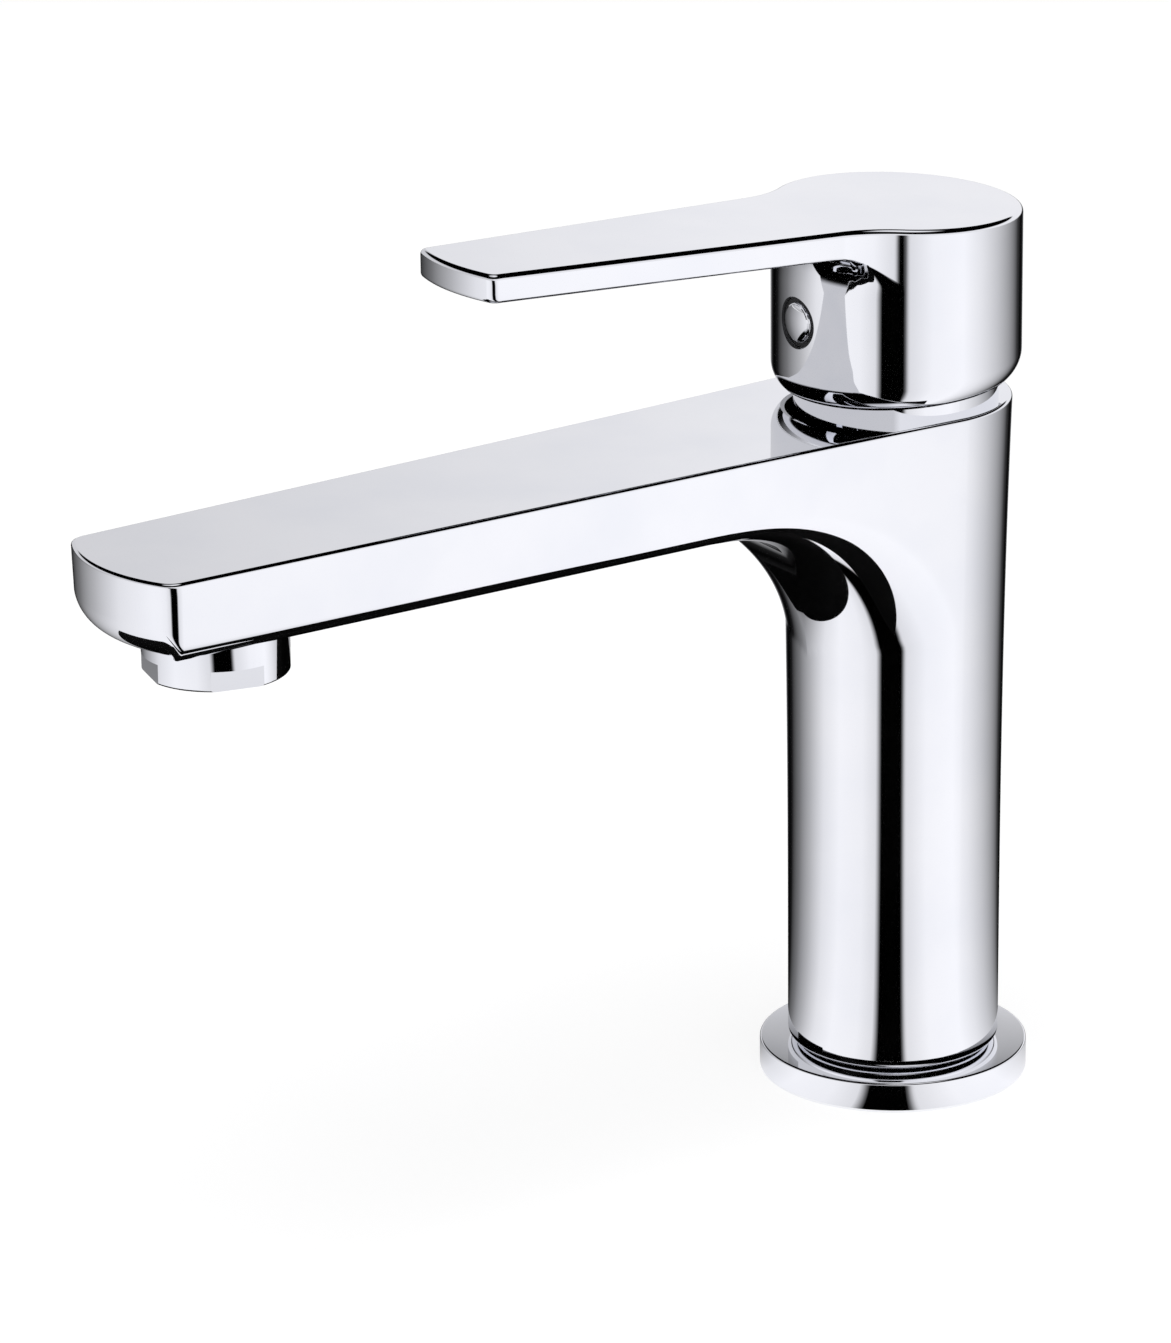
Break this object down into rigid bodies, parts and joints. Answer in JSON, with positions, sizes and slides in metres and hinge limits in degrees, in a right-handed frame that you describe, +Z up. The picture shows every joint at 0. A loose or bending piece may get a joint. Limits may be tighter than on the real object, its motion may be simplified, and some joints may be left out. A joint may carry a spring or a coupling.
{
  "type": "basin mixer faucet",
  "caption": "Single-lever basin mixer with a flat spout on a round column, swivel-and-lift lever, ceramic disc cartridge and threaded aerator.",
  "frame": {"origin": "centre of the underside of the base flange, on the column axis", "axes": "+Z up along the column, the spout and the lever point to -Y, +X is to the right of someone standing behind the faucet and looking along the spout"},
  "size_m": [0.0504, 0.1965, 0.1742],
  "materials": {
    "chrome_flange": "mirror plated",
    "rubber_gasket": "moulded satin",
    "rubber_foot": "moulded satin",
    "chrome_body": "mirror plated",
    "brass_nut": "machined",
    "chrome_collar": "mirror plated",
    "white_housing": "moulded satin",
    "rubber_housing": "moulded satin",
    "grey_base": "moulded satin",
    "rubber_inlets": "moulded satin",
    "rubber_discs": "moulded satin",
    "ceramic_fixed": "lapped ceramic",
    "ceramic_moving": "lapped ceramic",
    "black_carrier": "moulded satin",
    "white_rotor": "moulded satin",
    "rubber_rotor": "moulded satin",
    "steel_pin": "drawn satin",
    "brass_stem": "machined",
    "red_limit": "moulded satin",
    "chrome_handle": "mirror plated",
    "steel_screw": "drawn satin",
    "chrome_cover": "mirror plated",
    "chrome_shell": "mirror plated",
    "rubber_aerator": "moulded satin",
    "blue_insert": "moulded satin",
    "steel_screen": "drawn satin",
    "grey_grid": "moulded satin"
  },
  "bodies": {
    "fixed_body": {"base_flange": "chrome_flange", "base_gasket": "rubber_gasket", "foot_seal": "rubber_foot", "body_casting": "chrome_body", "retaining_nut": "brass_nut", "trim_collar": "chrome_collar", "cartridge_housing": "white_housing", "housing_seal": "rubber_housing", "cartridge_base": "grey_base", "inlet_seals": "rubber_inlets", "disc_seals": "rubber_discs", "fixed_disc": "ceramic_fixed", "limit_ring": "red_limit", "aerator_shell": "chrome_shell", "aerator_washer": "rubber_aerator", "aerator_insert": "blue_insert", "aerator_screen": "steel_screen", "aerator_grid": "grey_grid"},
    "swivel_guide": {"stem_rotor": "white_rotor", "rotor_seal": "rubber_rotor", "pivot_pin": "steel_pin"},
    "lever": {"lever_stem": "brass_stem", "lever_handle": "chrome_handle", "grub_screw": "steel_screw", "screw_cover": "chrome_cover"},
    "sliding_disc": {"moving_disc": "ceramic_moving", "disc_carrier": "black_carrier"}
  },
  "joints": [
    {"name": "lever_swivel", "type": "hinge", "parent": "fixed_body", "child": "swivel_guide", "pos_m": [0, 0, 0.1405], "axis": [0, 0, 1], "range_deg": [-50, 50]},
    {"name": "lever_lift", "type": "hinge", "parent": "swivel_guide", "child": "lever", "pos_m": [0, 0.003, 0.1405], "axis": [-1, 0, 0], "range_deg": [0, 15]},
    {"name": "disc_slide", "type": "slide", "parent": "swivel_guide", "child": "sliding_disc", "axis": [0, -1, 0], "range_m": [0, 0.0058]}
  ],
  "couplings": [
    {"joint": "disc_slide", "follows": "lever_lift", "m_per_rad": 0.0221}
  ]
}
